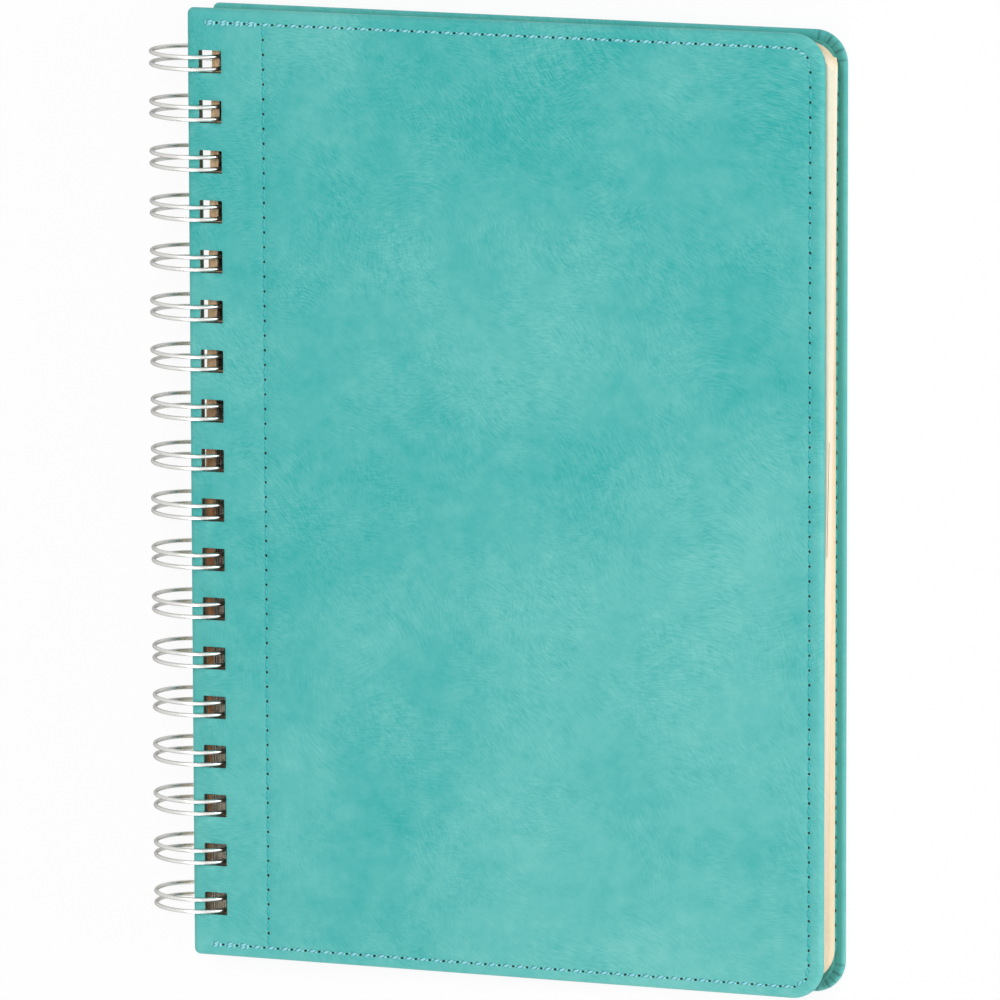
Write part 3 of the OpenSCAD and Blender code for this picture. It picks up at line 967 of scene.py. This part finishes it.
def page_mesh():
    points, faces, marks, face_marks = [], [], [], ([], [], [])
    for layer in range(layer_count):
        share = (layer + 0.5) / layer_count
        fan = fan_share(share)
        uneven = shift(*[cut_random.uniform(-unevenness, unevenness) for _ in "xy"], 0)
        fanned = turn(-fan_angle * fan, "Z") @ shift(-hole_mid, 0, 0)
        move = shift(page_x + hole_mid, fan_up * fan, 0) @ uneven @ fanned
        new_points, new_faces, new_marks = layer_faces(layer)
        for total, more in zip(face_marks, new_marks):
            total += more
        faces += [[len(points) + k for k in face] for face in new_faces]
        points += [move @ p for p in new_points]
        marks += [share] * len(new_points)
    mesh = bpy.data.meshes.new("page_sheets")
    mesh.from_pydata(points, [], faces)
    mesh.attributes.new("share", "FLOAT", "POINT").data.foreach_set("value", marks)
    for name, values in zip(("cut_edge", "punched", "hole_shade_strip"), face_marks):
        mesh.attributes.new(name, "FLOAT", "FACE").data.foreach_set("value", values)
    return mesh


pages = make_piece("page_sheets", page_mesh(), page_place, "text_block", paper)
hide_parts("page_block")

# %% [markdown]
# ## The wire
# One wire runs through all the holes. It goes round as a loop, turns back at a round tip,
# goes round again, bends into a short straight base and goes on to the next hole. The path
# follows a rule, so it is computed point by point, and a small Geometry Nodes tree sweeps a
# circle along it. The loops lean a little, as bent wire does, and reach out less at the head.

# %% Path of the wire
loop_steps, loop_lean = 84, math.radians(1.6)
base_bend, tip_clear, wire_share, wire_sides = 0.8, 0.45, 0.53, 12
head_pull, head_from = 0.045, 108


def wire_path():
    bend, tip = base_bend, pair_gap / 2
    seam_z = spine_lift + cover_t + seam_gap / 2 - loop_d / 2
    seam_a = math.asin(seam_z / loop_r)
    base_a = seam_a + math.asin(bend / loop_r)
    tip_a = seam_a - math.asin((tip + wire_d + tip_clear) / loop_r)
    end_a = 2 * math.pi + tip_a
    lean = math.tan(loop_lean)

    def at(angle, along, y):
        x = loop_r * math.cos(angle) - along * math.sin(angle)
        closer = 1 - head_pull * clamp(y / head_from) if x < 0 else 1
        return (x * closer, y - lean * x, loop_r * math.sin(angle) + along * math.cos(angle))

    points = []
    for i in range(hole_count):
        y = hole_y(i) - pair_drop
        upper, lower = y + tip, y - tip
        if i > 0:
            for q in (math.radians(18 * k) for k in range(5)):
                points.append(at(base_a, -bend * math.cos(q), upper + bend - bend * math.sin(q)))
        for k in range(loop_steps + 1):
            points.append(at(base_a + (end_a - base_a) * k / loop_steps, 0, upper))
        for q in (math.radians(15 * k) for k in range(1, 12)):
            points.append(at(tip_a, tip * math.sin(q), y + tip * math.cos(q)))
        for k in range(loop_steps + 1):
            points.append(at(end_a + (base_a - end_a) * k / loop_steps, 0, lower))
        if i < hole_count - 1:
            for q in (math.radians(18 * k) for k in range(1, 6)):
                points.append(at(base_a, -bend * math.sin(q), lower - bend + bend * math.cos(q)))
    return points


route = wire_path()
wire_length = sum((Vector(a) - Vector(b)).length for a, b in zip(route, route[1:]))
print("wire of", round(wire_length), "mm")

# %% Sweep a circle along the path
def sweep_tree():
    tree = bpy.data.node_groups.new("sweep_wire", "GeometryNodeTree")
    face = tree.interface
    face.new_socket("Path", in_out="INPUT", socket_type="NodeSocketGeometry")
    face.new_socket("Radius", in_out="INPUT", socket_type="NodeSocketFloat").default_value = 0.0005
    face.new_socket("Sides", in_out="INPUT", socket_type="NodeSocketInt").default_value = 12
    face.new_socket("Finish", in_out="INPUT", socket_type="NodeSocketMaterial")
    face.new_socket("Geometry", in_out="OUTPUT", socket_type="NodeSocketGeometry")
    given = add(tree, "NodeGroupInput").outputs
    curve = out_of(tree, "GeometryNodeMeshToCurve", {"Mesh": given["Path"]})
    circle = {"Resolution": given["Sides"], "Radius": given["Radius"]}
    profile = out_of(tree, "GeometryNodeCurvePrimitiveCircle", circle)
    swept = {"Curve": curve, "Profile Curve": profile, "Fill Caps": True}
    tube = out_of(tree, "GeometryNodeCurveToMesh", swept)
    real = out_of(tree, "GeometryNodeRealizeInstances", {"Geometry": tube})
    done = out_of(tree, "GeometryNodeSetMaterial", {"Geometry": real, "Material": given["Finish"]})
    add(tree, "NodeGroupOutput", {0: done})
    return tree


wire_values = {"Radius": wire_share * wire_d * MM, "Sides": wire_sides, "Finish": silver}
wire_mesh = run_tree(path_object("wire_path", [route]), sweep_tree(), wire_values)
wire_mesh.transform(Matrix.Scale(1 / MM, 4))
smooth(wire_mesh, 60)
wire = make_piece("twin_loop_wire", wire_mesh, wire_place, "text_block", silver)
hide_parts("binding_wire")

# %% [markdown]
# ## Studio
# The picture was taken from the right and from above the head, on white. The camera's place
# and aim come from a fit to the cover's edges, the holes and the loops. The floor is white to
# the camera but keeps a soft shadow, and big soft lamps light the cover at about the level at
# which its colour shows as written.

# %% Camera
camera_place, camera_turn = (1033.02, 466.06, 2530.81), (-9.78482, 22.20847, -0.18141)
sensor, lens = 36, 396.39

camera_data = bpy.data.cameras.new("camera")
camera = bpy.data.objects.new("camera", camera_data)
bpy.context.scene.collection.objects.link(camera)
bpy.context.scene.camera = camera
camera.location = Vector(camera_place) * MM
camera.rotation_euler = [math.radians(a) for a in camera_turn]
camera_data.sensor_width, camera_data.lens = sensor, lens
camera_data.clip_start, camera_data.clip_end = 0.1, 20
print("camera at", camera.location)

# %% Floor
white, floor_half, floor_glow, mirror_glow = (1, 1, 1, 1), 3, 0.88, 0.66


def rays(tree):
    ray = add(tree, "ShaderNodeLightPath").outputs
    metal = maths(tree, "MAXIMUM", ray["Is Glossy Ray"], ray["Is Transmission Ray"])
    return ray["Is Camera Ray"], metal


corners = [(-floor_half, -floor_half, 0), (floor_half, -floor_half, 0), (floor_half, floor_half, 0),
           (-floor_half, floor_half, 0)]
floor_mesh = bpy.data.meshes.new("floor")
floor_mesh.from_pydata(corners, [], [(0, 1, 2, 3)])
floor = bpy.data.objects.new("floor", floor_mesh)
bpy.context.scene.collection.objects.link(floor)
floor_look, tree, shader = new_material("white_floor")
plug(shader, {"Base Color": srgb(250, 250, 250), "Roughness": 0.9})
direct, metal = rays(tree)
to_camera = maths(tree, "MULTIPLY", direct, floor_glow)
seen = maths(tree, "MAXIMUM", to_camera, maths(tree, "MULTIPLY", metal, mirror_glow))
glow = out_of(tree, "ShaderNodeEmission", {"Color": white, "Strength": 1.0})
blend = out_of(tree, "ShaderNodeMixShader", {0: seen, 1: shader.outputs[0], 2: glow})
plug(tree.nodes["Material Output"], {"Surface": blend})
floor_mesh.materials.append(floor_look)

# %% Lamps
def lamp(name, place, size, power):
    data = bpy.data.lights.new(name, "AREA")
    data.shape, data.size, data.energy = "DISK", size, power
    light = bpy.data.objects.new(name, data)
    bpy.context.scene.collection.objects.link(light)
    light.location = place
    light.rotation_euler = (-Vector(place)).to_track_quat("-Z", "Y").to_euler()


lamp("key_lamp", (0.35, 0.7, 2.7), 1.4, 36)
lamp("side_lamp", (2.0, 0.1, 0.5), 1.0, 13)
lamp("foot_lamp", (0.2, -2.0, 1.0), 1.0, 9)
print("lamps", len(bpy.data.lights))

# %% World
soft_light, mirrored_light = 0.43, 1.1

world = bpy.data.worlds.new("studio")
bpy.context.scene.world = world
world.use_nodes = True
tree = world.node_tree
tree.nodes.clear()


def sky(colour, strength):
    return out_of(tree, "ShaderNodeBackground", {"Color": colour, "Strength": strength})


direct, metal = rays(tree)
height = part_of(tree, add(tree, "ShaderNodeTexCoord").outputs["Generated"], "Z")
tent = ramp(tree, height, [(0.30, 0.84), (0.75, 1.0)])
blend = {0: metal, 1: sky(white, soft_light), 2: sky(tent, mirrored_light)}
blend = {0: direct, 1: out_of(tree, "ShaderNodeMixShader", blend), 2: sky(white, 1.0)}
add(tree, "ShaderNodeOutputWorld", {"Surface": out_of(tree, "ShaderNodeMixShader", blend)})
bpy.context.scene.view_settings.view_transform = "Standard"
print("world", world.name)
